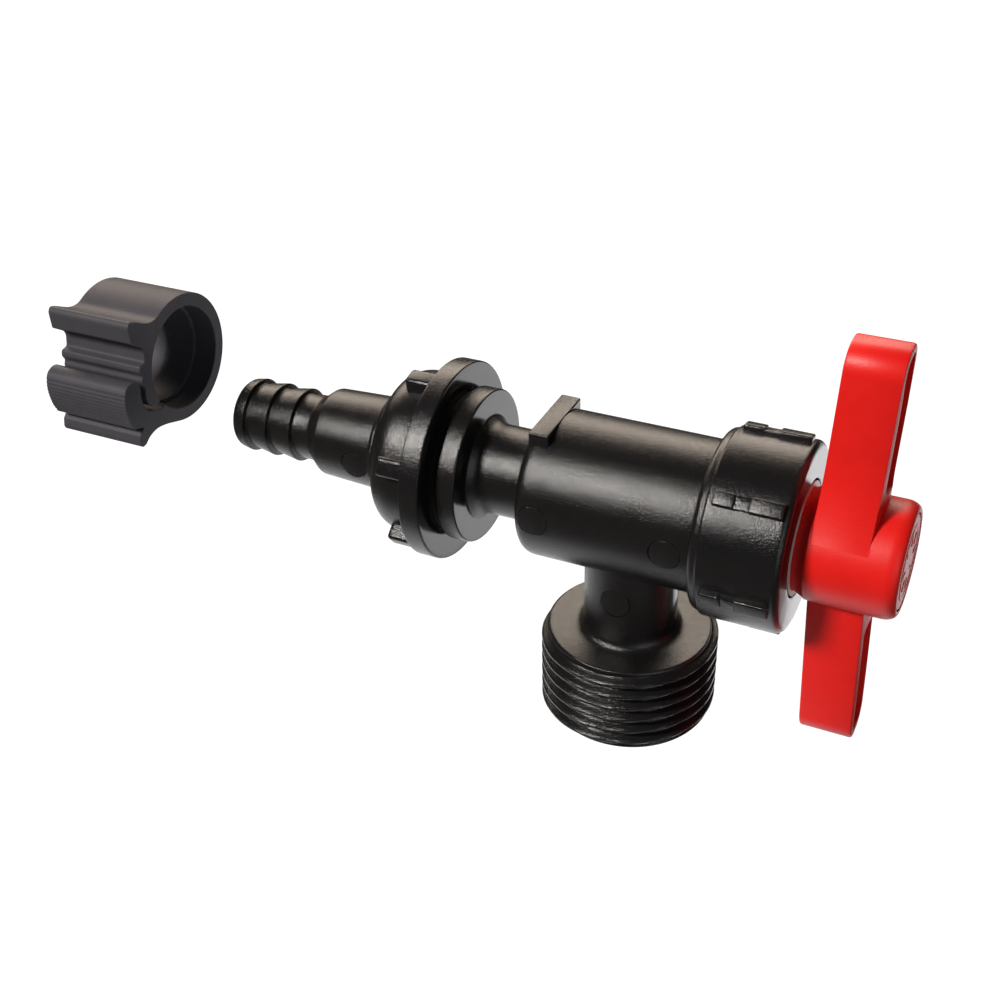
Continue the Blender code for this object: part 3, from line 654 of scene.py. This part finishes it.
# (y, z) outline of strip and jaws round the narrow bore: outer arc, upper jaw, bore arc, lower jaw with ribs
# of half a cosine; points nearer the axis than innerR move out to it, then all move inward by inset
def clipOutline(innerR, inset):
    upper = [(-5.4, 9.3, 0.8), (-6.6, 9.3, 0.6), (-7.8, 9.6, 1.2), (-10.8, 11.2, 0.8), (-11.7, 11.4, 0.35),
             (-12.2, 10.7, 0.35), (-12.05, 7.9, 0.25), (-9.8, 6.35, 0.3), (-9.45, 5.6, 0.5),
             (-9.75, 3.7, 0.4), (-11.05, 3.5, 0.25), (-11.3, 2.6, 0.35), (-10.75, 1.7, 0.3),
             (-11.15, 0.9, 0.3), (-10.6, -0.6, 0.5), (-10.9, -1.9, 0.7), (-10.4, -3.4, 1.0),
             (-9.4, -4.4, 0.6), (-8.3, -4.7, 0.4)]
    lowerIn = [(-7.5, -5.5, 0.5), (-9.4, -5.3, 1.2), (-11.2, -4.1, 1.4), (-11.9, -2.0, 1.0),
               (-11.7, 0.3, 0.5)]
    lower = [(-12.0, 1.3, 0.6), (-13.4, 2.15, 1.2), (-15.3, 1.5, 1.4), (-16.0, -0.8, 1.6), (-15.6, -3.9, 1.6),
             (-14.65, -5.8, 0.15), (-12.6, -6.5, 0.15), (-13.7, -7.6, 0.15), (-14.0, -8.95, 0.3),
             (-13.5, -9.75, 0.4), (-12.6, -9.65, 0.4), (-11.6, -8.85, 0.9), (-9.6, -8.35, 2.0),
             (-7.4, -8.7, 1.6)]
    outer = arcAt((0.0, 0.0), clip["outerR"], -110.0, 115.0, 90)
    inner = arcAt((0.0, 0.0), clip["stepR"], 206.0, -141.0, 130)
    top = dense(rounded([tuple(outer[-1])] + upper + [tuple(inner[0])], 5), 0.3)[1:-1]
    low = dense(rounded([tuple(inner[-1])] + lowerIn + lower + [tuple(outer[0])], 5), 0.16)[1:-1]
    ribbed = (low[:, 0] < -13.6) & (low[:, 1] < 0.6) & (low[:, 1] > -5.4)
    swell = clip["ribHeight"] * (0.5 - 0.5 * np.cos(tau * low[:, 1] / clip["ribPitch"]))
    low[:, 0] += np.where(ribbed, swell, 0.0)
    line = np.vstack([outer, top, inner, low])
    line = line * np.maximum(1.0, innerR / np.linalg.norm(line, axis=1))[:, None]
    return insetLine(line, inset)


# the same outline at each x; both ends are wider inside, and their outer edges are eased
def makeClip():
    c = clip
    a, b = c["left"], c["right"]
    wide, eased = clipOutline(c["innerR"], 0.0), clipOutline(c["innerR"], 0.12)
    narrow = clipOutline(c["stepR"], 0.0)
    inner, outer = a + c["stepDepths"][0], b - c["stepDepths"][1]
    stations = [(a, eased), (a + 0.12, wide)]
    stations += [(x, wide) for x in np.linspace(a + 0.12, inner, 4)[1:]]
    stations += [(x, narrow) for x in np.linspace(inner + 0.25, outer - 0.25, 8)]
    stations += [(x, wide) for x in np.linspace(outer, b - 0.12, 4)] + [(b, eased)]
    rows = np.array([np.column_stack([np.full(len(line), x), line + (0.0, c["z"])]) for x, line in stations])
    mesh = gridMesh("hoseClip", rows, None, None, False)
    item = newObject("hoseClip", mesh)
    bm = bmesh.new()
    bm.from_mesh(mesh)
    bm.verts.ensure_lookup_table()
    columns = rows.shape[1]
    caps = [bm.faces.new([bm.verts[k] for k in range(columns)]),
            bm.faces.new([bm.verts[len(bm.verts) - columns + k] for k in range(columns)])]
    bm.normal_update()
    bmesh.ops.triangulate(bm, faces=caps, ngon_method="EAR_CLIP")
    bmesh.ops.recalc_face_normals(bm, faces=bm.faces[:])
    bm.to_mesh(mesh)
    bm.free()
    return finishPiece(item, "hoseClipFine", "clip", ["hose_clip"], greyPlastic, 28.0)


makeBody()
makePanelNut()
makeBonnetNut()
makeHandle()
makeCap()
makeClip()

finishes = {"seal_rubber": blackRubber, "acetal_white": whitePlastic, "stainless": steel,
            "handle_red": redPlastic, "black_moulding": blackPlastic, "nut_moulding": nutPlastic,
            "clip_charcoal": greyPlastic}
slotOf = {part["node"]: part["material_slot"] for part in frame["record"]["subparts"]}
for label, node in frame["nodes"].items():
    node.data.materials.clear()
    node.data.materials.append(finishes[slotOf[label]])
print("materials on", len(frame["nodes"]), "nodes")


studio = {"floorZ": -0.11, "floorSize": 4.0, "surroundings": 0.035, "floorGrey": 0.08}
# name: place, aim, width and height, radiance, colour
lamps = {
    "keyBox": ((-0.28, -0.52, 0.50), (0.0, 0.0, 0.0), (0.14, 0.14), 102.0, (1.0, 0.96, 0.91)),
    "backGlow": ((-0.30, 0.62, 0.42), (0.0, 0.0, 0.0), (1.1, 0.36), 5.5, (1.0, 0.86, 0.72)),
    "sideFill": ((0.62, -0.45, 0.16), (0.0, 0.0, 0.0), (0.35, 0.45), 1.6, (0.96, 0.97, 1.0)),
    "underGlow": ((-0.02, 0.02, -0.108), (-0.02, 0.02, 1.0), (0.22, 0.16), 1.0, (0.96, 0.97, 1.0)),
    "farGlow": ((0.17, 0.23, -0.107), (0.17, 0.23, 1.0), (0.24, 0.26), 1.5, (0.98, 0.98, 1.0)),
}


# a value that is one number for the camera and another for every other ray
def cameraOnly(tree, seen, other):
    path = tree.nodes.new("ShaderNodeLightPath")
    span = tree.nodes.new("ShaderNodeMapRange")
    span.inputs["To Min"].default_value = other
    span.inputs["To Max"].default_value = seen
    tree.links.new(path.outputs["Is Camera Ray"], span.inputs["Value"])
    return span.outputs[0]


# white to the camera, dull grey to every other ray, and clear from below
def makeFloor():
    size, drop = studio["floorSize"], studio["floorZ"]
    mesh = bpy.data.meshes.new("floor")
    corners = [(-size, -size, drop), (size, -size, drop), (size, size, drop), (-size, size, drop)]
    mesh.from_pydata(corners, [], [(0, 1, 2, 3)])
    floor = newObject("floor", mesh)
    mat = bpy.data.materials.new("paleFloor")
    mat.use_nodes = True
    tree = mat.node_tree
    shader = tree.nodes["Principled BSDF"]
    grey = studio["floorGrey"]
    shader.inputs["Base Color"].default_value = (grey, grey, grey, 1.0)
    shader.inputs["Roughness"].default_value = 0.95
    shader.inputs["Emission Color"].default_value = (1.0, 1.0, 1.0, 1.0)
    tree.links.new(cameraOnly(tree, 1.0, 0.0), shader.inputs["Emission Strength"])
    geometry = tree.nodes.new("ShaderNodeNewGeometry")  # seen from below the floor is clear
    tree.links.new(mathNode(tree, "SUBTRACT", 1.0, geometry.outputs["Backfacing"]), shader.inputs["Alpha"])
    mesh.materials.append(mat)


# power in watts for a flat lamp of the given radiance: pi * area * radiance
def areaLight(name, place, aim, size, radiance, color):
    light = bpy.data.lights.new(name, "AREA")
    light.shape = "RECTANGLE"
    light.size, light.size_y = size
    light.energy = math.pi * size[0] * size[1] * radiance
    light.color = color
    item = newObject(name, light)
    item.location = place
    item.rotation_mode = "QUATERNION"
    item.rotation_quaternion = (Vector(aim) - Vector(place)).to_track_quat("-Z", "Y")
    item.visible_camera = False


# a world that is white to the camera and dim to every other ray, the floor and the lamps
def makeStudio():
    world = bpy.data.worlds.new("studio")
    bpy.context.scene.world = world
    world.use_nodes = True
    tree = world.node_tree
    tree.nodes["Background"].inputs["Color"].default_value = (1.0, 1.0, 1.0, 1.0)
    tree.links.new(cameraOnly(tree, 1.0, studio["surroundings"]), tree.nodes["Background"].inputs["Strength"])
    makeFloor()
    for name, values in lamps.items():
        areaLight(name, *values)


camera = {"place": (0.08417, -0.16412, 0.11299), "azimuth": 25.79, "elevation": 33.09, "roll": -1.41,
          "lens": 50.85}


# back = (sin az cos el, -cos az cos el, sin el) points from the object to the camera; right = z cross back
# and up = back cross right, both then turned by roll
def placeCamera():
    c = camera
    az, el, roll = (math.radians(c[key]) for key in ("azimuth", "elevation", "roll"))
    back = Vector((math.sin(az) * math.cos(el), -math.cos(az) * math.cos(el), math.sin(el)))
    right = Vector((0.0, 0.0, 1.0)).cross(back).normalized()
    up = back.cross(right)
    turnedRight = math.cos(roll) * right + math.sin(roll) * up
    turnedUp = -math.sin(roll) * right + math.cos(roll) * up
    data = bpy.data.cameras.new("camera")
    data.lens = c["lens"]
    data.sensor_width = 36.0
    data.clip_start = 0.01
    data.clip_end = 20.0
    item = newObject("camera", data)
    rows = [(turnedRight[k], turnedUp[k], back[k], c["place"][k]) for k in range(3)]
    item.matrix_world = Matrix(rows + [(0.0, 0.0, 0.0, 1.0)])
    bpy.context.scene.camera = item


makeStudio()
placeCamera()
print("studio with", len(lamps), "lamps and camera made")
bpy.context.scene.view_settings.view_transform = "Standard"
